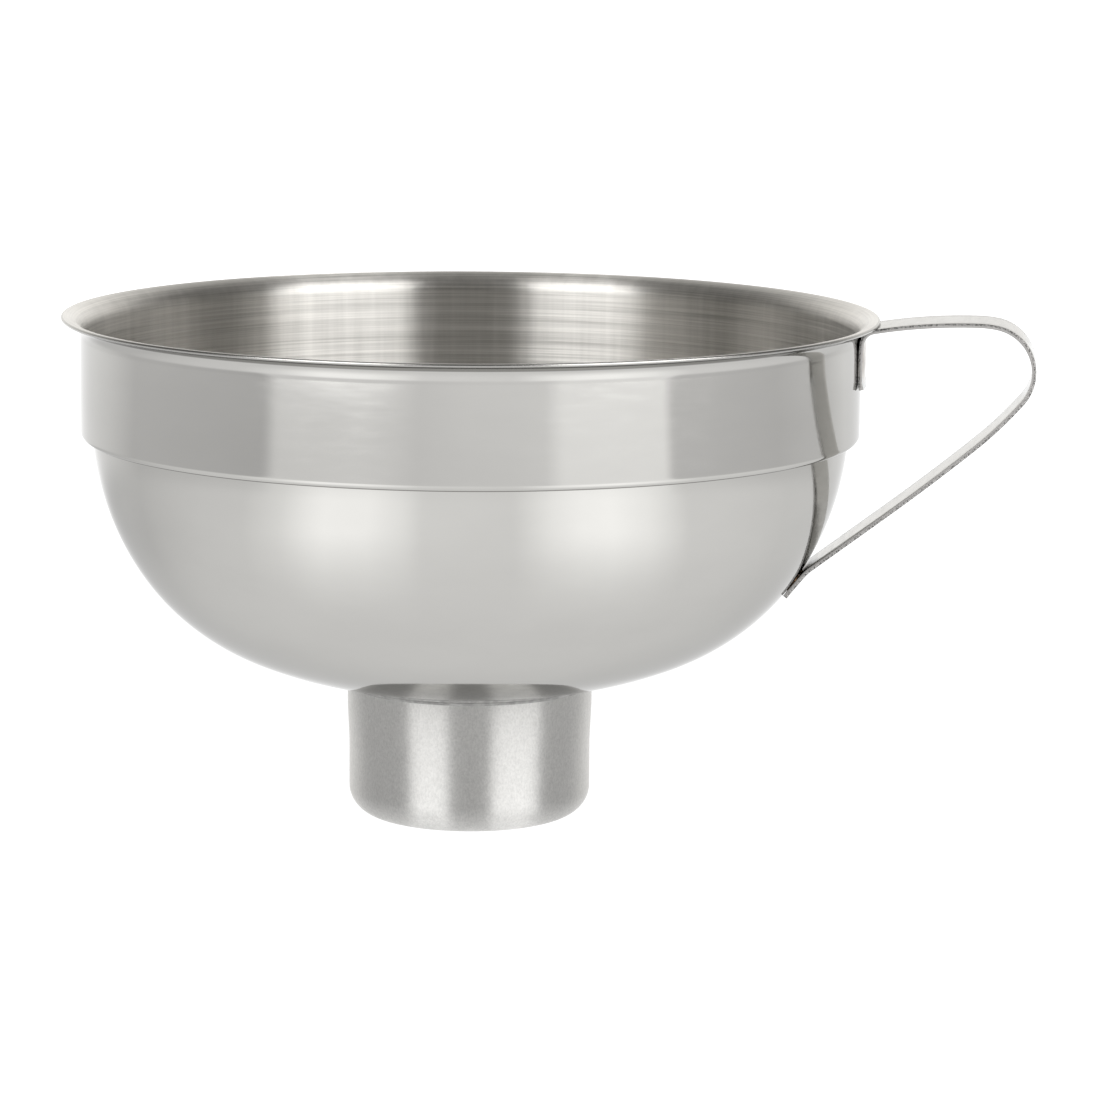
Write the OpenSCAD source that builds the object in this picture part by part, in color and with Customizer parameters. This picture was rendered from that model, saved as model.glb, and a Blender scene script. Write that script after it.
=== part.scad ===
// Canning funnel in sheet steel: a wide bowl with a flared lip and a stepped band, a short
// drawn spout under it, and a bent strap handle spot-welded to the bowl at both ends.
// Millimetres, +Z up along the funnel's axis, z = 0 at the spout's end, handle towards +X.

/* [Sheet] */
// Thickness of the bowl's and the spout's sheet
sheet = 0.6; // [0.5:0.05:0.8]
// Thickness of the handle's strap
strap_t = 0.7; // [0.6:0.05:0.9]

/* [Lip and band] */
// Height of the lip above the spout's end
rim_z = 81; // [80:0.5:86]
// Outer radius of the lip
rim_r = 65; // [64.8:0.1:66]
// Outer radius of the straight band under the lip
band_r = 62.1; // [61.5:0.1:62.2]
// Radius of the rounding under the band, where the sheet steps in
step_round = 1; // [0.8:0.1:1.4]

/* [Bowl] */
// Outer radius of the bowl where it meets the band's step
crease_r = 60.234; // [59.9:0.002:60.5]
// Height of that crease
crease_z = 61.579; // [61:0.001:62.5]
// Outer radius of the curve down the bowl's side
side_round = 43.845; // [42:0.1:46]
// Outer radius of the tighter curve under the side
knuckle_round = 37.03; // [36:0.1:38]
// Outer radius of the flatter curve of the bottom
bottom_round = 64.58; // [63:0.1:66]

/* [Spout] */
// Outer radius of the spout's straight lower part
spout_r = 19.45; // [19.2:0.05:19.6]
// Outer radius of the spout where it meets the bowl
spout_top_r = 19.72; // [19.65:0.01:19.8]
// Radius of the rounded edge at the spout's end
spout_round = 4.5; // [3.5:0.1:4.8]
// Radius of the outlet hole
outlet_r = 14.5; // [13:0.1:14.8]

/* [Handle] */
// Width of the strap
strap_w = 11.5; // [9:0.5:15]
// Slope at which the strap's top run leaves the rim, in degrees
top_slope = 10; // [9.5:0.05:10.5]
// Radius of the top run's gentle arch
top_arch = 86.4; // [82:0.2:92]
// Outer radius of the handle's round end
end_round = 7.58; // [7.4:0.02:7.8]
// Radius of the curve that leads each strap bend into the bowl's side
tab_bend = 6; // [4:0.5:8]

/* [Welds] */
// Radius of one spot weld
nugget_r = 1.6; // [1.2:0.1:1.8]
// Distance between the two spot welds of a pair
nugget_gap = 5.5; // [4.5:0.5:6.5]
// Size of the bead between spout and bowl
bead = 0.6; // [0.4:0.05:0.8]

/* [Hidden] */
$fn = 144;
arc_step = 2.5;
steel = [0.78, 0.78, 0.77];
satin = [0.66, 0.66, 0.65];
heat_tint = [0.33, 0.26, 0.2];

// Lip: a quarter-round flare with a rounded edge
lip_bend = rim_r - sheet / 2 - band_r;
lip_c = [rim_r - sheet / 2, rim_z - sheet - lip_bend];

// Step: a tight rounding, then a nearly level ledge that runs in to the crease
crease = [crease_r, crease_z];
step_turn = 82;
ledge_end_r = band_r - step_round * (1 - cos(step_turn));
ledge_rise = (ledge_end_r - crease_r) / tan(step_turn);
step_c = [band_r - step_round, crease_z + ledge_rise + step_round * sin(step_turn)];

// Bowl: three arcs, each starting where the last one ends; angles are below the horizontal
side_a = 4.21;
knuckle_a = 35.185;
bottom_a = 66.885;
end_a = 81.5;
side_c = crease - side_round * dir(-side_a);
knuckle_c = side_c + (side_round - knuckle_round) * dir(-knuckle_a);
bottom_c = knuckle_c + (knuckle_round - bottom_round) * dir(-bottom_a);
bowl_end = bottom_c + bottom_round * dir(-end_a);

// Collar: the bowl's hole is drawn down a little way inside the spout
spout_bore_top = spout_top_r - sheet;
collar_r = spout_bore_top - 0.07;
collar_len = 3.6;
collar_corner = [collar_r, bowl_end.y - (bowl_end.x - collar_r) / tan(end_a)];
function under_z(r) = bowl_end.y - (bowl_end.x - r) / tan(end_a);

spout_top_z = under_z(spout_bore_top) - 0.26;
spout_straight = 12;
spout_top_straight = 4;

// Handle: upper tab on the band, lower tab on the bowl's side
fit_gap = 0.05;
tab_tip = 1.3;
tab_tip_turn = 10;
upper_weld_z = 75.2;
upper_tab_low = 70.7;
bend_r = 2.5;
bend_c = [band_r + fit_gap + bend_r, 77.846];
lower_a = 35.6;
lower_weld = knuckle_c + knuckle_round * dir(-lower_a);
lower_below = 2.2;
line_start = bend_c + (bend_r - strap_t / 2) * dir(90 + top_slope);

function dir(a) = [cos(a), sin(a)];
function arc(c, r, a0, a1) =
    let (n = ceil(abs(a1 - a0) / arc_step))
    [for (i = [0:n]) c + r * dir(a0 + (a1 - a0) * i / n)];

// A strap's centre line: each step is [length] or [radius, turn], turning clockwise, and the
// other way when both are minus
function turn_c(p, a, r) = p + r * dir(a - 90);
function after(p, a, s) =
    len(s) == 1 ? [p + s[0] * dir(a), a] : [turn_c(p, a, s[0]) + s[0] * dir(a + 90 - s[1]), a - s[1]];
function side_pts(p, a, s, off) =
    len(s) == 1
        ? [p + off * dir(a + 90), p + s[0] * dir(a) + off * dir(a + 90)]
        : arc(turn_c(p, a, s[0]), s[0] + off, a + 90, a + 90 - s[1]);
function line_pts(p, a, steps, off, i = 0) =
    i == len(steps) ? []
    : let (q = after(p, a, steps[i]))
      concat(side_pts(p, a, steps[i], off), line_pts(q[0], q[1], steps, off, i + 1));
function line_end(p, a, steps, i = 0) =
    i == len(steps) ? [p, a]
    : let (q = after(p, a, steps[i])) line_end(q[0], q[1], steps, i + 1);

// Top run with its arch and shoulder, round end and the slow curves of the diagonal
upper_steps = [
    [top_arch, 11],
    [15.39, 10.3],
    [end_round - strap_t / 2, 118.87],
    [61.79, 9.67],
    [349.15, 2.91],
];
diagonal = line_end(line_start, top_slope, upper_steps);
tab_dir = -90 - lower_a;
tab_mid = lower_weld + (strap_t / 2 + fit_gap) * dir(-lower_a);
tab_turn = tab_dir - diagonal[1];
// The diagonal's line and the tab's line cross at this distance along the diagonal
cross_at = let (d = tab_mid - diagonal[0], u = dir(diagonal[1]), v = dir(tab_dir))
    (d.x * v.y - d.y * v.x) / (u.x * v.y - u.y * v.x);
tab_reach = let (x = diagonal[0] + cross_at * dir(diagonal[1])) norm(tab_mid - x);
lead = tab_bend * tan(tab_turn / 2);
handle_steps = concat(upper_steps, [
    [cross_at - lead],
    [-tab_bend, -tab_turn],
    [tab_reach - lead + lower_below],
]);

module strap_side() {
    left = line_pts(line_start, top_slope, handle_steps, strap_t / 2);
    right = line_pts(line_start, top_slope, handle_steps, -strap_t / 2);
    bend_out = arc(bend_c, bend_r, 180, 90 + top_slope);
    bend_in = arc(bend_c, bend_r - strap_t, 180, 90 + top_slope);
    tip_top = [band_r + fit_gap, upper_tab_low + tab_tip];
    tip = -90 + tab_tip_turn;
    tip_out = tip_top + tab_tip * dir(tip);
    tip_in = tip_out + strap_t * dir(tip + 90);
    tip_in_top = tip_top + [strap_t, strap_t * tan(tab_tip_turn / 2)];
    polygon(concat(
        [tip_in, tip_out, tip_top], bend_out, left,
        [for (i = [len(right) - 1:-1:0]) right[i]],
        [for (i = [len(bend_in) - 1:-1:0]) bend_in[i]], [tip_in_top]
    ));
}

module upper_nuggets() {
    for (y = [-0.5, 0.5])
        translate([band_r - 0.3, y * nugget_gap, upper_weld_z])
            rotate([0, 90, 0]) cylinder(h = 0.3 + fit_gap + 0.25, r = nugget_r);
}

module lower_nuggets() {
    for (y = [-0.5, 0.5])
        translate([lower_weld.x, y * nugget_gap, lower_weld.y])
            rotate([0, 90 + lower_a, 0])
                translate([0, 0, -0.3]) cylinder(h = 0.3 + fit_gap + 0.25, r = nugget_r);
}

module bowl() {
    outside = concat(
        [[collar_r, collar_corner.y - collar_len], collar_corner],
        arc(bottom_c, bottom_round, -end_a, -bottom_a),
        arc(knuckle_c, knuckle_round, -bottom_a, -knuckle_a),
        arc(side_c, side_round, -knuckle_a, -side_a),
        arc(step_c, step_round, -step_turn, 0),
        arc(lip_c, lip_bend, 180, 90),
        arc(lip_c + [0, lip_bend + sheet / 2], sheet / 2, -90, 90)
    );
    inside = concat(
        arc(lip_c, lip_bend + sheet, 90, 180),
        arc(step_c, step_round - sheet, 0, -step_turn),
        arc(crease, sheet, 180 - step_turn, 180 - side_a),
        arc(side_c, side_round - sheet, -side_a, -knuckle_a),
        arc(knuckle_c, knuckle_round - sheet, -knuckle_a, -bottom_a),
        arc(bottom_c, bottom_round - sheet, -bottom_a, -end_a),
        arc(collar_corner, sheet, 180 - end_a, 180),
        [[collar_r - sheet, collar_corner.y - collar_len]]
    );
    color(steel) difference() {
        rotate_extrude() polygon(concat(outside, inside));
        upper_nuggets();
        lower_nuggets();
    }
}

module spout() {
    round_c = [spout_r - spout_round, spout_round];
    cone_top = spout_top_z - spout_top_straight;
    profile = concat(
        [[outlet_r, 0]],
        arc(round_c, spout_round, -90, 0),
        [
            [spout_r, spout_straight], [spout_top_r, cone_top], [spout_top_r, spout_top_z],
            [spout_bore_top, spout_top_z], [spout_bore_top, cone_top],
            [spout_r - sheet, spout_straight]
        ],
        arc(round_c, spout_round - sheet, 0, -90),
        [[outlet_r, sheet]]
    );
    color(satin) rotate_extrude() polygon(profile);
}

module spout_weld_bead() {
    bead_r = spout_top_r + bead;
    hollow_c = [bead_r, spout_top_z - bead];
    color(steel) rotate_extrude() polygon(concat(
        [[spout_bore_top, under_z(spout_bore_top)], [spout_bore_top, spout_top_z],
         [spout_top_r, spout_top_z]],
        arc(hollow_c, bead, 180, 90),
        [[bead_r, under_z(bead_r)]]
    ));
}

module handle() {
    color(steel) difference() {
        rotate([90, 0, 0]) linear_extrude(strap_w, center = true) strap_side();
        upper_nuggets();
        lower_nuggets();
    }
}

module upper_spot_welds() {
    color(heat_tint) upper_nuggets();
}

module lower_spot_welds() {
    color(heat_tint) lower_nuggets();
}

bowl();
spout();
spout_weld_bead();
handle();
upper_spot_welds();
lower_spot_welds();
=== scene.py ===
"""Canning funnel: polished bowl, satin spout, strap handle and its welds, in a white studio."""

import math

import bmesh
import bpy
from mathutils import Matrix, Vector, noise


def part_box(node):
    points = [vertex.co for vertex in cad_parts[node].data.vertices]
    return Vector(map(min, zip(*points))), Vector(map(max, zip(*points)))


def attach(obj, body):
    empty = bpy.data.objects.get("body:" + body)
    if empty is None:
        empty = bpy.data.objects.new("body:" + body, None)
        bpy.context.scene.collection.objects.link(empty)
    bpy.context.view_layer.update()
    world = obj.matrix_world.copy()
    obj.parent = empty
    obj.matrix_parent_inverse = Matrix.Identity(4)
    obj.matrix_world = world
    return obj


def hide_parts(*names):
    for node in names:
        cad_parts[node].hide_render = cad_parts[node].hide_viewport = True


bl_info = {
    "name": "Canning funnel",
    "version": (1, 0, 0),
    "blender": (4, 5, 0),
    "location": "3D View > Sidebar > Funnel",
    "description": "Builds a sheet-steel canning funnel and its white studio",
    "category": "Add Mesh",
}

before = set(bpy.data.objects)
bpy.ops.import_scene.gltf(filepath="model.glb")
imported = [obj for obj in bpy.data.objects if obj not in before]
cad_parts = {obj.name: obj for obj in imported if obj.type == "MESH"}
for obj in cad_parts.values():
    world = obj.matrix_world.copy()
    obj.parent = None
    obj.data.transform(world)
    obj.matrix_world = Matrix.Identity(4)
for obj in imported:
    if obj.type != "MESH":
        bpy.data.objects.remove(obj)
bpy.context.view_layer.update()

MM = 0.001
SPOUT_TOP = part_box("spout")[1][2]
UPPER_WELD = [(a + b) / 2 for a, b in zip(*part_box("upper_spot_welds"))]
LOWER_WELD = [(a + b) / 2 for a, b in zip(*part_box("lower_spot_welds"))]
WELD_SIDE = 2.75 * MM  # from the strap's middle to each weld of a pair
FIT_GAP = 0.05 * MM  # between the strap and the wall it is welded to
STEP_TURN = math.radians(82)  # how far the rounding under the band turns in
LOWER_A = math.radians(-35.6)  # the lower weld's place on the bowl's tighter curve
LOOP_GAP = 0.3 * MM  # a loop this close to a straight wall's end keeps the wall's shading level
FULL_TURN = 2 * math.pi


def length(name, default_mm, about):
    return bpy.props.FloatProperty(
        name=name, description=about, default=default_mm * MM, min=0, unit="LENGTH", precision=5
    )


def angle(name, default_deg, about):
    return bpy.props.FloatProperty(
        name=name, description=about, default=math.radians(default_deg), unit="ROTATION"
    )


def colour(name, default, about):
    return bpy.props.FloatVectorProperty(
        name=name, description=about, default=default, size=3, min=0, max=1, subtype="COLOR"
    )


class BowlSettings(bpy.types.PropertyGroup):
    sheet: length("Sheet", 0.6, "Thickness of the bowl's sheet")
    rim_z: length("Lip height", 81, "Height of the lip above the spout's end")
    rim_r: length("Lip radius", 65, "Outer radius of the lip")
    band_r: length("Band radius", 62.1, "Outer radius of the straight band")
    step_round: length("Step rounding", 1, "Radius of the rounding under the band")
    crease_r: length("Crease radius", 60.234, "Outer radius of the bowl under the step")
    crease_z: length("Crease height", 61.579, "Height of the crease under the step")
    side_round: length("Side curve", 43.845, "Radius of the bowl's side in section")
    knuckle_round: length("Knuckle curve", 37.03, "Radius of the tighter curve under it")
    bottom_round: length("Bottom curve", 64.58, "Radius of the flatter bottom in section")
    collar_r: length("Collar radius", 19.05, "Outer radius of the collar in the spout")
    collar_len: length("Collar length", 3.6, "How far the collar reaches down")
    polish: colour("Polish", (0.49, 0.484, 0.467), "Colour of the polished outside")
    turning: colour("Turning", (0.62, 0.606, 0.578), "Colour of the turned inside")


class SpoutSettings(bpy.types.PropertyGroup):
    sheet: length("Sheet", 0.6, "Thickness of the spout's sheet")
    radius: length("Radius", 19.45, "Outer radius of the straight lower part")
    top_radius: length("Top radius", 19.72, "Outer radius at the joint with the bowl")
    edge_round: length("Edge rounding", 4.5, "Radius of the turned-in edge")
    outlet_r: length("Outlet radius", 14.5, "Radius of the outlet hole")
    bead: length("Bead", 0.6, "Size of the weld bead")
    satin: colour("Satin", (0.66, 0.655, 0.64), "Colour of the satin steel")


class HandleSettings(bpy.types.PropertyGroup):
    width: length("Width", 11.5, "Width of the strap")
    thickness: length("Thickness", 0.7, "Thickness of the strap")
    top_arch: length("Top arch", 86.4, "Radius of the top run's gentle arch")
    end_round: length("End rounding", 7.58, "Outer radius of the round end")
    tab_bend: length("Tab bend", 6, "Radius of the bend into the lower tab")
    top_slope: angle("Top slope", 10, "Slope at which the top run leaves the rim")
    face: colour("Face", (0.7, 0.7, 0.69), "Colour of the strap's faces")
    cut: colour("Cut edge", (0.22, 0.215, 0.21), "Colour of the sheared edges")
    tint: colour("Heat tint", (0.2, 0.12, 0.07), "Colour of the burnt weld metal")


class StudioSettings(bpy.types.PropertyGroup):
    distance: length("Camera distance", 688.58, "From the camera to the point it looks at")
    look_side: length("Look sideways", 12.815, "How far that point lies beside the axis")
    look_height: length("Look height", 42.835, "Height of that point")
    turn: angle("Camera turn", 6.5, "Turn of the camera round the funnel")
    pitch: angle("Camera pitch", 9.638, "How far the camera looks down")
    roll: angle("Camera roll", 0.4106, "Tilt of the camera about its line of sight")
    lens: bpy.props.FloatProperty(
        name="Lens", description="Focal length on a 36 mm sensor", default=140.15, unit="CAMERA"
    )
    floor: colour("Floor", (0.03, 0.03, 0.03), "Colour of the floor")


# --- Shapes -----------------------------------------------------------------------------------


def direction(a):
    return Vector((math.cos(a), 0, math.sin(a)))


def run_to(bm, v, end):
    """Draws a straight edge from v to a point and returns its end."""
    new = bmesh.ops.extrude_vert_indiv(bm, verts=[v])["verts"][0]
    new.co = end
    return new


def sweep(bm, v, centre, turn, step=math.radians(1.6)):
    """Draws an arc from v round a centre, anticlockwise for plus, and returns its end."""
    steps = max(2, math.ceil(abs(turn) / step))
    made = bmesh.ops.spin(
        bm, geom=[v], cent=centre, axis=(0, -1, 0), dvec=(0, 0, 0), angle=turn, steps=steps,
        use_merge=False, use_normal_flip=False, use_duplicate=False,
    )
    return [g for g in made["geom_last"] if isinstance(g, bmesh.types.BMVert)][0]


def mark_along(bm, first):
    """Stores how far along the section each point lies, for turning marks that follow it."""
    layer = bm.verts.layers.float["along"]
    v, last, total = first, None, 0.0
    while True:
        v[layer] = total
        onward = [e for e in v.link_edges if last is None or e is not last]
        if not onward or (last is not None and v is first):
            return
        last = onward[0]
        total += last.calc_length()
        v = last.other_vert(v)
        if v is first:
            return


def close_and_turn(bm, first, last, steps):
    """Closes a section and spins it into a ring about the funnel's axis."""
    bmesh.ops.contextual_create(bm, geom=[last, first])
    bmesh.ops.spin(
        bm, geom=bm.verts[:] + bm.edges[:], cent=(0, 0, 0), axis=(0, 0, 1), dvec=(0, 0, 0),
        angle=FULL_TURN, steps=steps, use_merge=True, use_normal_flip=False, use_duplicate=False,
    )
    bmesh.ops.recalc_face_normals(bm, faces=bm.faces[:])


def finish_piece(bm, name, materials, sharp=math.radians(28)):
    for face in bm.faces:
        face.smooth = True
    for edge in bm.edges:
        edge.smooth = edge.is_manifold and edge.calc_face_angle(0) < sharp
    mesh = bpy.data.meshes.new(name)
    bm.to_mesh(mesh)
    bm.free()
    for material in materials:
        mesh.materials.append(material)
    piece = bpy.data.objects.new(name, mesh)
    bpy.context.scene.collection.objects.link(piece)
    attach(piece, "root")
    return piece


def bowl_curve(s):
    """The bowl's section below the crease: centres and angles of its three arcs."""
    side_a, knuckle_a, bottom_a, end_a = (math.radians(a) for a in (-4.21, -35.185, -66.885, -81.5))
    crease = Vector((s.crease_r, 0, s.crease_z))
    side_c = crease - s.side_round * direction(side_a)
    knuckle_c = side_c + (s.side_round - s.knuckle_round) * direction(knuckle_a)
    bottom_c = knuckle_c + (s.knuckle_round - s.bottom_round) * direction(bottom_a)
    end = bottom_c + s.bottom_round * direction(end_a)
    corner = Vector((s.collar_r, 0, end.z + (end.x - s.collar_r) / math.tan(end_a)))
    return crease, side_c, knuckle_c, bottom_c, end, corner, (side_a, knuckle_a, bottom_a, end_a)


def bowl_section(bm, s):
    crease, side_c, knuckle_c, bottom_c, end, corner, (a1, a2, a3, a4) = bowl_curve(s)
    bend = s.rim_r - s.sheet / 2 - s.band_r
    lip_c = Vector((s.rim_r - s.sheet / 2, 0, s.rim_z - s.sheet - bend))
    ledge_r = s.band_r - s.step_round * (1 - math.cos(STEP_TURN))
    ledge_z = s.crease_z + (ledge_r - s.crease_r) / math.tan(STEP_TURN)
    step_c = Vector((s.band_r - s.step_round, 0, ledge_z + s.step_round * math.sin(STEP_TURN)))
    band_in = s.band_r - s.sheet
    quarter = math.pi / 2
    fine = math.radians(7)

    first = bm.verts.new((s.collar_r, 0, corner.z - s.collar_len))
    v = run_to(bm, first, corner)
    v = run_to(bm, v, end)
    v = sweep(bm, v, bottom_c, a3 - a4)
    v = sweep(bm, v, knuckle_c, a2 - a3)
    v = sweep(bm, v, side_c, a1 - a2)
    v = run_to(bm, v, (ledge_r, 0, ledge_z))
    v = sweep(bm, v, step_c, STEP_TURN, fine)
    v = run_to(bm, v, (s.band_r, 0, step_c.z + LOOP_GAP))
    v = run_to(bm, v, (s.band_r, 0, lip_c.z - LOOP_GAP))
    v = run_to(bm, v, (s.band_r, 0, lip_c.z))
    v = sweep(bm, v, lip_c, -quarter, fine)
    v = sweep(bm, v, lip_c + Vector((0, 0, bend + s.sheet / 2)), math.pi, math.radians(20))
    v = sweep(bm, v, lip_c, quarter, fine)
    v = run_to(bm, v, (band_in, 0, lip_c.z - LOOP_GAP))
    v = run_to(bm, v, (band_in, 0, step_c.z + LOOP_GAP))
    v = run_to(bm, v, (band_in, 0, step_c.z))
    v = sweep(bm, v, step_c, -STEP_TURN, fine)
    v = run_to(bm, v, crease + s.sheet * direction(math.pi - STEP_TURN))
    v = sweep(bm, v, crease, STEP_TURN + a1, math.radians(12))
    v = sweep(bm, v, side_c, a2 - a1)
    v = sweep(bm, v, knuckle_c, a3 - a2)
    v = sweep(bm, v, bottom_c, a4 - a3)
    v = run_to(bm, v, corner + s.sheet * direction(a4 + math.pi))
    v = sweep(bm, v, corner, -a4, math.radians(12))
    v = run_to(bm, v, (s.collar_r - s.sheet, 0, corner.z - s.collar_len))
    return first, v


def lower_tab(s, b):
    """The middle of the lower tab's centre line, over the lower weld."""
    return bowl_curve(b)[2] + (b.knuckle_round + s.thickness / 2 + FIT_GAP) * direction(LOWER_A)


def strap_line(bm, s, b):
    """Draws the strap's centre line from the upper tab's tip to the lower tab's end."""
    half = s.thickness / 2
    tab_x, tab_low, tip, below = b.band_r + FIT_GAP + half, 72 * MM, 1.3 * MM, 2.2 * MM
    bend_r = 2.5 * MM
    bend_c = Vector((b.band_r + FIT_GAP + bend_r, 0, 77.846 * MM))
    v = bm.verts.new(Vector((tab_x, 0, tab_low)) + tip * direction(math.radians(-80)))
    v = run_to(bm, v, (tab_x, 0, tab_low))
    for k in range(1, 4):
        v = run_to(bm, v, (tab_x, 0, tab_low + k * (bend_c.z - tab_low) / 3))
    v = sweep(bm, v, bend_c, s.top_slope - math.pi / 2, math.radians(6))
    heading = s.top_slope

    def straight(v, reach):
        start, pieces = v.co.copy(), max(1, round(reach / (1.2 * MM)))
        for k in range(1, pieces + 1):
            v = run_to(bm, v, start + direction(heading) * reach * k / pieces)
        return v

    def curve(v, radius, turn, fine):
        nonlocal heading
        centre = v.co + radius * direction(heading - math.pi / 2)
        heading -= turn
        return sweep(bm, v, centre, -turn, math.radians(fine))

    v = curve(v, s.top_arch, math.radians(11), 0.8)
    v = curve(v, 15.39 * MM, math.radians(10.3), 3)
    v = curve(v, s.end_round - half, math.radians(118.87), 4)
    v = curve(v, 61.79 * MM, math.radians(9.67), 1.5)
    v = curve(v, 349.15 * MM, math.radians(2.91), 0.3)
    # The diagonal's line and the tab's line cross at this reach along the diagonal
    tab_dir = LOWER_A - math.pi / 2
    mid = lower_tab(s, b)
    gap, ahead, along = mid - v.co, direction(heading), direction(tab_dir)
    reach = (gap.x * along.z - gap.z * along.x) / (ahead.x * along.z - ahead.z * along.x)
    turn = tab_dir - heading
    lead = s.tab_bend * math.tan(turn / 2)
    tab = (mid - (v.co + reach * ahead)).length - lead + below
    v = straight(v, reach - lead)
    v = curve(v, -s.tab_bend, -turn, 4)
    straight(v, tab)


def widen_strap(bm, s):
    """Widens the centre line to a sheet and thickens it; "across" is 0 inside and 1 outside."""
    bmesh.ops.translate(bm, verts=bm.verts[:], vec=(0, -s.width / 2, 0))
    wide = bmesh.ops.extrude_edge_only(bm, edges=bm.edges[:])
    far = [g for g in wide["geom"] if isinstance(g, bmesh.types.BMVert)]
    bmesh.ops.translate(bm, verts=far, vec=(0, s.width, 0))
    ribs = [e for e in bm.edges if abs(e.verts[0].co.y - e.verts[1].co.y) > s.width / 2]
    bmesh.ops.subdivide_edges(bm, edges=ribs, cuts=5, use_grid_fill=True)
    bmesh.ops.recalc_face_normals(bm, faces=bm.faces[:])
    if bm.faces[0].normal.x > 0:
        bmesh.ops.reverse_faces(bm, faces=bm.faces[:])
    for vert in bm.verts:
        vert.co += vert.normal * s.thickness / 2
    made = bmesh.ops.solidify(bm, geom=bm.faces[:], thickness=s.thickness)["geom"]
    across = bm.verts.layers.float["across"]
    for vert in made:
        if isinstance(vert, bmesh.types.BMVert):
            vert[across] = 1
    if max(bm.verts, key=lambda v: v.co.x)[across] < 0.5:
        for vert in bm.verts:
            vert[across] = 1 - vert[across]
    bmesh.ops.recalc_face_normals(bm, faces=bm.faces[:])


def rough_edges(bm, s):
    """Rounds the corners of the sheared edges and tears the edges a little."""
    rounding, torn_by = 0.07 * MM, 0.02 * MM
    limit = s.width / 2 - 0.01 * MM
    edge_faces = [f for f in bm.faces if all(abs(v.co.y) > limit for v in f.verts)]
    corners = {e for f in edge_faces for e in f.edges if e.calc_face_angle(0) > 1}
    bmesh.ops.bevel(
        bm, geom=list(corners), offset=rounding, offset_type="OFFSET", affect="EDGES",
        segments=2, profile=0.5, material=-1, clamp_overlap=True,
    )
    for vert in bm.verts:
        if abs(vert.co.y) > limit - 0.1 * MM:
            torn = noise.noise(vert.co * 700) * torn_by
            vert.co.y -= math.copysign(abs(torn), vert.co.y)


def wrap_tabs(bm, s, b):
    """Presses both tabs to the round wall, fading out where the strap leaves it."""
    mid, down, fade = lower_tab(s, b), direction(LOWER_A - math.pi / 2), 4 * MM
    for vert in bm.verts:
        deep = b.band_r - math.sqrt(b.band_r ** 2 - vert.co.y ** 2)
        upper = min(1, max(0, (79.5 * MM - vert.co.z) / fade))
        lower = min(1, max(0, (down.dot(vert.co - mid) + 2.5 * MM) / fade))
        if vert.co.x < b.band_r + 2.2 * MM and vert.co.z > 60 * MM:
            vert.co.x -= deep * upper
        elif vert.co.z < mid.z + 6 * MM and vert.co.x < mid.x + 4 * MM:
            vert.co -= deep * lower * direction(LOWER_A)


# --- Materials --------------------------------------------------------------------------------


class Finish:
    """A small helper that adds nodes to one material and wires them."""

    def __init__(self, name, base, rough, metal=1.0):
        self.material = bpy.data.materials.new(name)
        self.material.use_nodes = True
        self.tree = self.material.node_tree
        self.shader = self.tree.nodes["Principled BSDF"]
        self.set(self.shader, "Base Color", (*base, 1))
        self.set(self.shader, "Roughness", rough)
        self.set(self.shader, "Metallic", metal)
        self.place = self.node("ShaderNodeTexCoord").outputs["Object"]

    def set(self, node, socket, value):
        if isinstance(value, bpy.types.NodeSocket):
            self.tree.links.new(value, node.inputs[socket])
        else:
            node.inputs[socket].default_value = value

    def node(self, kind, inputs=None, **settings):
        made = self.tree.nodes.new(kind)
        for key, value in settings.items():
            setattr(made, key, value)
        for socket, value in (inputs or {}).items():
            self.set(made, socket, value)
        return made

    def stretched(self, scale, source=None):
        return self.node("ShaderNodeMapping", {"Vector": source or self.place, "Scale": scale}).outputs[0]

    def cloud(self, where, scale, detail=3.0, rough=0.55):
        return self.node(
            "ShaderNodeTexNoise",
            {"Vector": where, "Scale": scale, "Detail": detail, "Roughness": rough},
        ).outputs["Fac"]

    def fit(self, value, low, high, to_low, to_high, kind="LINEAR"):
        return self.node(
            "ShaderNodeMapRange",
            {"Value": value, "From Min": low, "From Max": high, "To Min": to_low, "To Max": to_high},
            interpolation_type=kind,
        ).outputs["Result"]

    def mix(self, amount, a, b):
        made = self.node("ShaderNodeMix", data_type="RGBA")
        for socket, value in ((0, amount), (6, a), (7, b)):
            self.set(made, socket, value)
        return made.outputs[2]

    def maths(self, kind, a, b=0.0):
        return self.node("ShaderNodeMath", {0: a, 1: b}, operation=kind).outputs[0]

    def relief(self, height, depth, strength=1.0, after=None):
        inputs = {"Height": height, "Distance": depth, "Strength": strength}
        if after is not None:
            inputs["Normal"] = after
        return self.node("ShaderNodeBump", inputs).outputs[0]

    def near(self, point):
        """Distance from a pair of points that mirror each other across the handle's plane."""
        parts = self.node("ShaderNodeSeparateXYZ", {0: self.place}).outputs
        side = self.maths("ABSOLUTE", parts[1])
        folded = self.node("ShaderNodeCombineXYZ", {0: parts[0], 1: side, 2: parts[2]}).outputs[0]
        return self.node(
            "ShaderNodeVectorMath", {0: folded, 1: point}, operation="DISTANCE"
        ).outputs["Value"]


def dim(rgb, factor):
    return (*(c * factor for c in rgb), 1)


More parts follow.
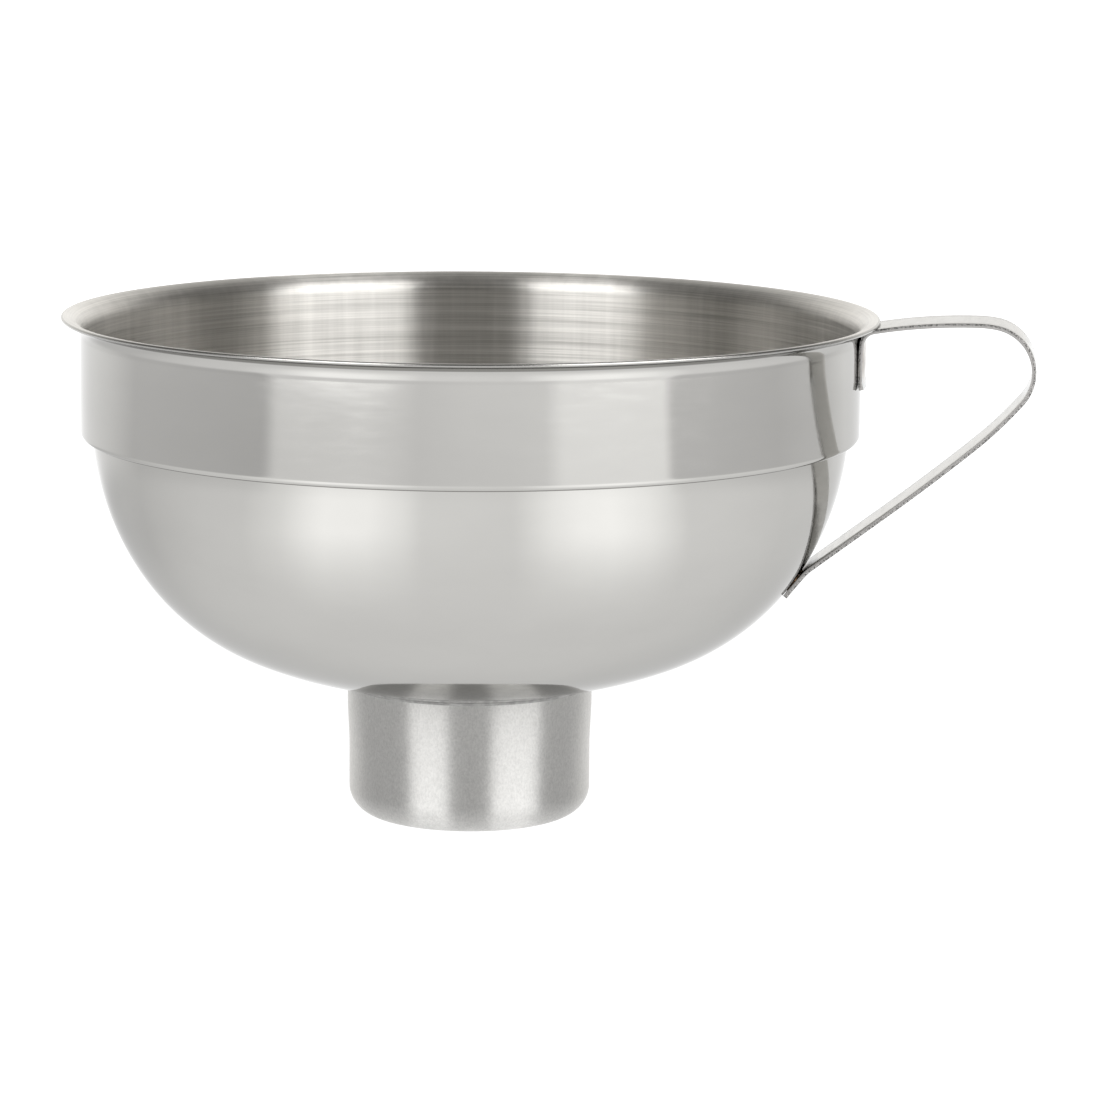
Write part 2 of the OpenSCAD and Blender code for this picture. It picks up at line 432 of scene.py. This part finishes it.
def heat_marks(f, base):
    """Straw, brown and a thin blue ring round the spot welds, over a base colour."""
    out = base
    for weld in (UPPER_WELD, LOWER_WELD):
        gap = f.near((weld[0], WELD_SIDE, weld[2]))
        ragged = f.maths("ADD", gap, f.fit(f.cloud(f.place, 900), 0.3, 0.7, -0.7 * MM, 0.7 * MM))
        out = f.mix(f.fit(ragged, 5.2 * MM, 3.6 * MM, 0, 0.2, "SMOOTHSTEP"), out, (0.45, 0.52, 0.62, 1))
        out = f.mix(f.fit(ragged, 4.4 * MM, 2.6 * MM, 0, 0.4, "SMOOTHSTEP"), out, (0.5, 0.38, 0.24, 1))
        out = f.mix(f.fit(ragged, 3.0 * MM, 1.6 * MM, 0, 0.9, "SMOOTHSTEP"), out, (0.16, 0.11, 0.07, 1))
    return out


def polished_outside(rgb):
    f = Finish("polished outside", rgb, 0.06)
    f.set(f.shader, "Specular Tint", (0.7, 0.7, 0.7, 1))
    smears = f.cloud(f.stretched((1, 1, 2.5)), 45, 4)
    base = f.mix(f.fit(smears, 0.35, 0.7, 0, 1), dim(rgb, 1.0), dim(rgb, 0.965))
    f.set(f.shader, "Base Color", heat_marks(f, base))
    wipe = f.cloud(f.stretched((1, 1, 6)), 160, 2)
    f.set(f.shader, "Roughness", f.fit(wipe, 0.3, 0.75, 0.05, 0.1))
    ripple = f.cloud(f.stretched((1, 1, 0.6)), 55, 1.5)
    f.set(f.shader, "Normal", f.relief(ripple, 0.02 * MM, 0.35))
    return f.material


def lip_edge(rgb):
    """The lip's narrow end face, duller than the polished sheet."""
    return Finish("lip edge", tuple(0.72 * c for c in rgb), 0.22).material


def turned_inside(rgb):
    f = Finish("turned inside", rgb, 0.2)
    along = f.node("ShaderNodeAttribute", attribute_name="along").outputs["Fac"]
    flat = f.node("ShaderNodeSeparateXYZ", {0: f.place}).outputs

    def rings(per_mm, run):
        where = f.node(
            "ShaderNodeCombineXYZ",
            {0: f.maths("MULTIPLY", flat[0], run), 1: f.maths("MULTIPLY", flat[1], run),
             2: f.maths("MULTIPLY", along, 1000 * per_mm)},
        ).outputs[0]
        return f.cloud(where, 1.0, 3, 0.6)

    fine, broad = rings(3.2, 26), rings(0.7, 9)
    chatter = f.cloud(f.stretched((1, 1, 0.04)), 420, 3, 0.6)
    both = f.maths("ADD", f.maths("MULTIPLY", fine, 0.5), f.maths("MULTIPLY", broad, 0.3))
    both = f.maths("ADD", both, f.maths("MULTIPLY", chatter, 0.2))
    f.set(f.shader, "Base Color", f.mix(f.fit(both, 0.38, 0.62, 0, 1), dim(rgb, 0.68), dim(rgb, 1.16)))
    f.set(f.shader, "Roughness", f.fit(both, 0.35, 0.65, 0.28, 0.4))
    f.set(f.shader, "Anisotropic", 1.0)
    f.set(f.shader, "Anisotropic Rotation", 0.25)
    f.set(f.shader, "Tangent", f.node("ShaderNodeTangent", direction_type="RADIAL", axis="Z").outputs[0])
    f.set(f.shader, "Normal", f.relief(both, 0.07 * MM, 0.6))
    return f.material


def satin_spout(rgb):
    f = Finish("satin spout", rgb, 0.45)
    f.set(f.shader, "Anisotropic", 1.0)
    f.set(f.shader, "Anisotropic Rotation", 0.25)
    f.set(f.shader, "Tangent", f.node("ShaderNodeTangent", direction_type="RADIAL", axis="Z").outputs[0])
    grain = f.cloud(f.stretched((1, 1, 0.6)), 3400, 3, 0.65)
    blotch = f.cloud(f.place, 260, 5, 0.6)
    both = f.maths("ADD", f.maths("MULTIPLY", grain, 0.5), f.maths("MULTIPLY", blotch, 0.5))
    f.set(f.shader, "Base Color", f.mix(f.fit(both, 0.38, 0.62, 0, 1), dim(rgb, 0.82), dim(rgb, 1.1)))
    f.set(f.shader, "Roughness", f.fit(blotch, 0.3, 0.7, 0.42, 0.52))
    f.set(f.shader, "Normal", f.relief(both, 0.012 * MM, 0.4))
    return f.material


def strap_face(rgb):
    f = Finish("strap face", rgb, 0.14)
    f.set(f.shader, "Specular Tint", (0.75, 0.75, 0.75, 1))
    scuff = f.cloud(f.stretched((1, 0.2, 1)), 900, 4, 0.6)
    base = f.mix(f.fit(scuff, 0.4, 0.65, 0, 1), dim(rgb, 1.0), dim(rgb, 0.95))
    f.set(f.shader, "Base Color", heat_marks(f, base))
    f.set(f.shader, "Roughness", f.fit(scuff, 0.3, 0.7, 0.1, 0.2))
    f.set(f.shader, "Normal", f.relief(scuff, 0.006 * MM, 0.3))
    return f.material


def sheared_edge(rgb):
    """Smooth where the shears cut, torn and dotted over the rest, a dark line at each side."""
    f = Finish("sheared edge", rgb, 0.4)
    across = f.node("ShaderNodeAttribute", attribute_name="across").outputs["Fac"]
    torn = f.cloud(f.place, 3800, 3, 0.6)
    dotted = f.mix(f.fit(torn, 0.42, 0.54, 0, 1), dim(rgb, 0.4), dim(rgb, 1.7))
    base = f.mix(f.fit(across, 0.4, 0.6, 0, 1), dim(rgb, 1.6), dotted)
    side = f.maths("ABSOLUTE", f.maths("SUBTRACT", across, 0.5))
    f.set(f.shader, "Base Color", f.mix(f.fit(side, 0.36, 0.47, 0, 0.8), base, dim(rgb, 0.4)))
    f.set(f.shader, "Normal", f.relief(torn, 0.02 * MM, 0.5))
    return f.material


def burnt_weld(rgb):
    f = Finish("burnt weld", rgb, 0.5, 0.85)
    spots = f.cloud(f.place, 1600, 4, 0.6)
    f.set(f.shader, "Base Color", f.mix(f.fit(spots, 0.4, 0.62, 0, 1), dim(rgb, 0.55), dim(rgb, 1.7)))
    f.set(f.shader, "Normal", f.relief(spots, 0.1 * MM, 0.7))
    return f.material


def shaded_bead_metal(rgb):
    f = Finish("bead metal with painted shade", rgb, 0.5)
    ripple = f.cloud(f.place, 1100, 2)
    # painted shade: the bead is darkened to 0.4 to 0.55 of the satin colour to paint the shadow in the
    # joint between spout and bowl; the ripple varies it at random
    f.set(f.shader, "Base Color", f.mix(f.fit(ripple, 0.4, 0.62, 0, 1), dim(rgb, 0.4), dim(rgb, 0.55)))
    f.set(f.shader, "Normal", f.relief(ripple, 0.01 * MM, 0.4))
    return f.material


# Painted light: brightness of the glowing floor by bearing from the camera's side, degrees: near and far
NEAR_PAINTED_LIGHT = (
    (-180, 1.1), (-150, 1.05), (-138, 1.0), (-122, 0.98), (-108, 0.92), (-78, 1.05), (-62, 1.08),
    (-50, 1.3), (-42, 1.6), (-37, 1.74), (-25, 1.69), (-16, 1.45), (-11, 1.22), (12, 1.19), (22, 1.58),
    (29, 1.74), (38, 1.8), (49, 1.59), (61, 1.18), (80, 1.14), (102, 1.1), (132, 1.2), (180, 1.1),
)
FAR_PAINTED_LIGHT = (
    (-180, 1.2), (-165, 1.4), (-152, 1.49), (-147, 1.48), (-142, 1.42), (-136, 1.35), (-122, 1.1),
    (-108, 0.83), (-57, 0.72), (-53, 1.1), (-30, 1.15), (-19, 1.09), (-13, 1.02),
    (0, 1.08), (14, 1.1), (21, 1.12), (26, 1.38), (55, 1.39), (58, 0.89), (96, 0.81), (120, 0.96),
    (137, 1.32), (150, 1.36), (157, 1.32), (180, 1.15),
)


# --- Operators --------------------------------------------------------------------------------


class FUNNEL_OT_bowl(bpy.types.Operator):
    """Spin the bowl's section: collar, three curves, step, band and flared lip"""

    bl_idname = "funnel.bowl"
    bl_label = "Bowl"

    def execute(self, context):
        s = context.scene.funnel_bowl
        bm = bmesh.new()
        bm.verts.layers.float.new("along")
        first, last = bowl_section(bm, s)
        mark_along(bm, first)
        close_and_turn(bm, first, last, 240)
        for face in bm.faces:
            out = face.calc_center_median()
            out.z = 0
            edge = out.length > s.rim_r - s.sheet / 2
            turned = face.normal.dot(out.normalized()) - face.normal.z < 0.02
            face.material_index = 2 if edge else int(turned)
        metals = [polished_outside(s.polish), turned_inside(s.turning), lip_edge(s.polish)]
        piece = finish_piece(bm, "bowl_shell", metals)
        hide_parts("bowl")
        return {"FINISHED"}


class FUNNEL_OT_spout(bpy.types.Operator):
    """Spin the spout's section, with its turned-in end, straight part and wider top"""

    bl_idname = "funnel.spout"
    bl_label = "Spout"

    def execute(self, context):
        s = context.scene.funnel_spout
        straight_z, top_straight_z = 12 * MM, SPOUT_TOP - 4 * MM
        bm = bmesh.new()
        centre = Vector((s.radius - s.edge_round, 0, s.edge_round))
        first = bm.verts.new((s.outlet_r, 0, 0))
        v = run_to(bm, first, (centre.x, 0, 0))
        v = sweep(bm, v, centre, math.pi / 2, math.radians(5))
        v = run_to(bm, v, (s.radius, 0, s.edge_round + LOOP_GAP))
        v = run_to(bm, v, (s.radius, 0, straight_z))
        v = run_to(bm, v, (s.top_radius, 0, top_straight_z))
        v = run_to(bm, v, (s.top_radius, 0, SPOUT_TOP))
        v = run_to(bm, v, (s.top_radius - s.sheet, 0, SPOUT_TOP))
        v = run_to(bm, v, (s.top_radius - s.sheet, 0, top_straight_z))
        v = run_to(bm, v, (s.radius - s.sheet, 0, straight_z))
        v = run_to(bm, v, (s.radius - s.sheet, 0, s.edge_round))
        v = sweep(bm, v, centre, -math.pi / 2, math.radians(5))
        v = run_to(bm, v, (s.outlet_r, 0, s.sheet))
        close_and_turn(bm, first, v, 160)
        piece = finish_piece(bm, "spout_tube", [satin_spout(s.satin)])
        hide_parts("spout")
        return {"FINISHED"}


class FUNNEL_OT_bead(bpy.types.Operator):
    """Spin the hollow weld bead that closes the joint between spout and bowl"""

    bl_idname = "funnel.bead"
    bl_label = "Weld bead"

    def execute(self, context):
        s = context.scene.funnel_spout
        _, _, _, _, end, corner, angles = bowl_curve(context.scene.funnel_bowl)
        slope = (end.z - corner.z) / (end.x - corner.x)
        inner, outer = s.top_radius - s.sheet, s.top_radius + s.bead
        bm = bmesh.new()
        first = bm.verts.new((inner, 0, corner.z + slope * (inner - corner.x)))
        v = run_to(bm, first, (inner, 0, SPOUT_TOP))
        v = run_to(bm, v, (s.top_radius, 0, SPOUT_TOP))
        v = run_to(bm, v, (s.top_radius, 0, SPOUT_TOP - s.bead))
        v = sweep(bm, v, Vector((outer, 0, SPOUT_TOP - s.bead)), -math.pi / 2, math.radians(15))
        v = run_to(bm, v, (outer, 0, corner.z + slope * (outer - corner.x)))
        close_and_turn(bm, first, v, 160)
        piece = finish_piece(bm, "bead_ring", [shaded_bead_metal(s.satin)])
        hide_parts("spout_weld_bead")
        return {"FINISHED"}


class FUNNEL_OT_handle(bpy.types.Operator):
    """Bend the strap along its centre line, widen it, give it thickness and rough its edges"""

    bl_idname = "funnel.handle"
    bl_label = "Strap handle"

    def execute(self, context):
        s, b = context.scene.funnel_handle, context.scene.funnel_bowl
        bm = bmesh.new()
        bm.verts.layers.float.new("across")
        strap_line(bm, s, b)
        widen_strap(bm, s)
        rough_edges(bm, s)
        wrap_tabs(bm, s, b)
        for face in bm.faces:
            face.material_index = int(abs(face.normal.y) > 0.5)
        piece = finish_piece(bm, "handle_strap", [strap_face(s.face), sheared_edge(s.cut)])
        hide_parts("handle")
        return {"FINISHED"}


class FUNNEL_OT_spot_welds(bpy.types.Operator):
    """Give the spot welds their burnt metal"""

    bl_idname = "funnel.spot_welds"
    bl_label = "Spot welds"

    def execute(self, context):
        metal = burnt_weld(context.scene.funnel_handle.tint)
        for name in ("upper_spot_welds", "lower_spot_welds"):
            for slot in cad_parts[name].material_slots:
                slot.material = metal
        return {"FINISHED"}


class FUNNEL_OT_stage(bpy.types.Operator):
    """Set up the floor, the softboxes, the white surroundings and the camera"""

    bl_idname = "funnel.stage"
    bl_label = "Studio"

    def execute(self, context):
        s = context.scene.funnel_studio
        scene = context.scene
        scene.view_settings.view_transform = "Standard"
        self.floor(s)
        self.surroundings(scene, s)
        self.softbox("left softbox", s, -57, -19, 0.04, 0.62, 3.7)
        self.softbox("right softbox", s, 22, 70, 0.04, 0.62, 3.7)
        self.camera(scene, s)
        return {"FINISHED"}

    def floor(self, s):
        """A floor that glows with painted light by bearing and distance, which the metal reflects"""
        bm = bmesh.new()
        bmesh.ops.create_circle(bm, cap_ends=True, segments=96, radius=4)
        mesh = bpy.data.meshes.new("floor")
        bm.to_mesh(mesh)
        bm.free()
        f = Finish("floor with painted light", s.floor, 0.8, 0.0)
        f.set(f.shader, "Specular IOR Level", 0.0)
        turned = f.node("ShaderNodeVectorRotate", {"Vector": f.place, "Angle": -s.turn},
                        rotation_type="Z_AXIS").outputs[0]
        x, y, _ = f.node("ShaderNodeSeparateXYZ", {0: turned}).outputs
        bearing = f.maths("ARCTAN2", x, f.maths("MULTIPLY", y, -1))
        around = f.fit(bearing, -math.pi, math.pi, 0, 1)
        reach = f.node("ShaderNodeVectorMath", {0: turned}, operation="LENGTH").outputs["Value"]
        near = self.painted_light_ramp(f, around, NEAR_PAINTED_LIGHT)
        far = self.painted_light_ramp(f, around, FAR_PAINTED_LIGHT)
        # painted shade: inside 0.055 m the floor glows a flat grey, mostly dimmer than the near tones it
        # fades into by 0.145 m
        painted_floor_light = f.mix(f.fit(reach, 0.055, 0.145, 0, 1, "SMOOTHSTEP"), (0.545, 0.545, 0.545, 1), near)
        painted_floor_light = f.mix(f.fit(reach, 0.2, 0.34, 0, 1, "SMOOTHSTEP"), painted_floor_light, far)
        # painted pool of light: the floor glows whiter near bearing -34 degrees from about 0.63 m out
        away = f.maths("ABSOLUTE", f.maths("SUBTRACT", bearing, math.radians(-34)))
        painted_light_pool = f.maths("MULTIPLY", f.fit(away, 0.1, 0.4, 0.55, 0, "SMOOTHSTEP"),
                        f.fit(reach, 0.625, 0.68, 0, 1, "SMOOTHSTEP"))
        painted_floor_light = f.mix(painted_light_pool, painted_floor_light, (1, 1, 1, 1))
        # painted light: the floor glows with these tones, a little brighter beyond about 0.6 m out
        f.set(f.shader, "Emission Color", painted_floor_light)
        f.set(f.shader, "Emission Strength", f.fit(reach, 0.53, 0.64, 2.0, 2.1))
        mesh.materials.append(f.material)
        plane = bpy.data.objects.new("floor", mesh)
        bpy.context.scene.collection.objects.link(plane)

    # Ramps the floor's painted light round the bearings
    def painted_light_ramp(self, f, around, stops):
        ramp = f.node("ShaderNodeValToRGB", {"Fac": around})
        places = ramp.color_ramp.elements
        while len(places) < len(stops):
            places.new(0.5)
        for place, (bearing, tone) in zip(places, stops):
            place.position = (bearing + 180) / 360
            place.color = (tone / 2, tone / 2, tone / 2, 1)
        return ramp.outputs["Color"]

    def surroundings(self, scene, s):
        """Dim in front and at the sides, white behind the funnel and overhead"""
        world = bpy.data.worlds.new("white studio")
        scene.world = world
        world.use_nodes = True
        tree = world.node_tree
        place = tree.nodes.new("ShaderNodeTexCoord")
        turn = tree.nodes.new("ShaderNodeVectorRotate")
        turn.rotation_type = "Z_AXIS"
        turn.inputs["Angle"].default_value = -s.turn
        parts = tree.nodes.new("ShaderNodeSeparateXYZ")
        tree.links.new(place.outputs["Generated"], turn.inputs["Vector"])
        tree.links.new(turn.outputs[0], parts.inputs[0])

        def ramp(source, limits):
            made = tree.nodes.new("ShaderNodeMapRange")
            made.interpolation_type = "SMOOTHSTEP"
            for socket, value in zip(("From Min", "From Max", "To Min", "To Max"), limits):
                made.inputs[socket].default_value = value
            tree.links.new(source, made.inputs["Value"])
            return made.outputs["Result"]

        total = tree.nodes.new("ShaderNodeMath")
        total.operation = "ADD"
        tree.links.new(ramp(parts.outputs[1], (0.3, 0.97, 0.18, 1.2)), total.inputs[0])
        tree.links.new(ramp(parts.outputs[2], (0.6, 1.0, 0.0, 0.2)), total.inputs[1])
        tree.links.new(total.outputs[0], tree.nodes["Background"].inputs["Strength"])
        tree.nodes["Background"].inputs["Color"].default_value = (1, 0.985, 0.955, 1)

    def softbox(self, name, s, left, right, low, high, glow):
        """A panel on the floor that faces the funnel, between two bearings in degrees"""
        middle, half = math.radians((left + right) / 2), math.radians((right - left) / 2)
        reach = 0.42
        light = bpy.data.lights.new(name, "AREA")
        light.shape = "RECTANGLE"
        light.size = 2 * reach * math.tan(half)
        light.size_y = high - low
        light.energy = glow * math.pi * light.size * light.size_y
        box = bpy.data.objects.new(name, light)
        bearing = s.turn + middle - math.pi / 2
        place = Vector((math.cos(bearing) * reach, math.sin(bearing) * reach, (low + high) / 2))
        box.location = place
        box.rotation_euler = Vector((-place.x, -place.y, 0)).to_track_quat("-Z", "Y").to_euler()
        bpy.context.scene.collection.objects.link(box)

    def camera(self, scene, s):
        data = bpy.data.cameras.new("camera")
        data.lens = s.lens
        data.sensor_width = 36
        data.clip_start = 0.01
        spin = Matrix.Rotation(s.turn, 3, "Z")
        aim = spin @ Vector((s.look_side, 0, s.look_height))
        back = spin @ Vector((0, -math.cos(s.pitch), math.sin(s.pitch)))
        right = spin @ Vector((1, 0, 0))
        up = back.cross(right)
        right, up = (
            math.cos(s.roll) * right + math.sin(s.roll) * up,
            math.cos(s.roll) * up - math.sin(s.roll) * right,
        )
        eye = bpy.data.objects.new("camera", data)
        eye.matrix_world = Matrix.Translation(aim + s.distance * back) @ Matrix(
            (right, up, back)
        ).transposed().to_4x4()
        scene.collection.objects.link(eye)
        scene.camera = eye


class FUNNEL_PT_panel(bpy.types.Panel):
    """Lists the funnel's pieces and its studio"""

    bl_idname = "FUNNEL_PT_panel"
    bl_label = "Canning funnel"
    bl_space_type = "VIEW_3D"
    bl_region_type = "UI"
    bl_category = "Funnel"

    def draw(self, context):
        for operator in STEPS:
            self.layout.operator(operator.bl_idname)
        for group in ("funnel_bowl", "funnel_spout", "funnel_handle", "funnel_studio"):
            settings = getattr(context.scene, group)
            box = self.layout.box()
            for name in settings.__annotations__:
                box.prop(settings, name)


GROUPS = {
    "funnel_bowl": BowlSettings,
    "funnel_spout": SpoutSettings,
    "funnel_handle": HandleSettings,
    "funnel_studio": StudioSettings,
}
STEPS = (
    FUNNEL_OT_bowl, FUNNEL_OT_spout, FUNNEL_OT_bead, FUNNEL_OT_handle, FUNNEL_OT_spot_welds,
    FUNNEL_OT_stage,
)


def register():
    for cls in (*GROUPS.values(), *STEPS, FUNNEL_PT_panel):
        bpy.utils.register_class(cls)
    for name, group in GROUPS.items():
        setattr(bpy.types.Scene, name, bpy.props.PointerProperty(type=group))


def unregister():
    for name in GROUPS:
        delattr(bpy.types.Scene, name)
    for cls in reversed((*GROUPS.values(), *STEPS, FUNNEL_PT_panel)):
        bpy.utils.unregister_class(cls)


def main():
    register()
    bpy.ops.funnel.bowl()
    bpy.ops.funnel.spout()
    bpy.ops.funnel.bead()
    bpy.ops.funnel.handle()
    bpy.ops.funnel.spot_welds()
    bpy.ops.funnel.stage()


if __name__ == "__main__":
    main()
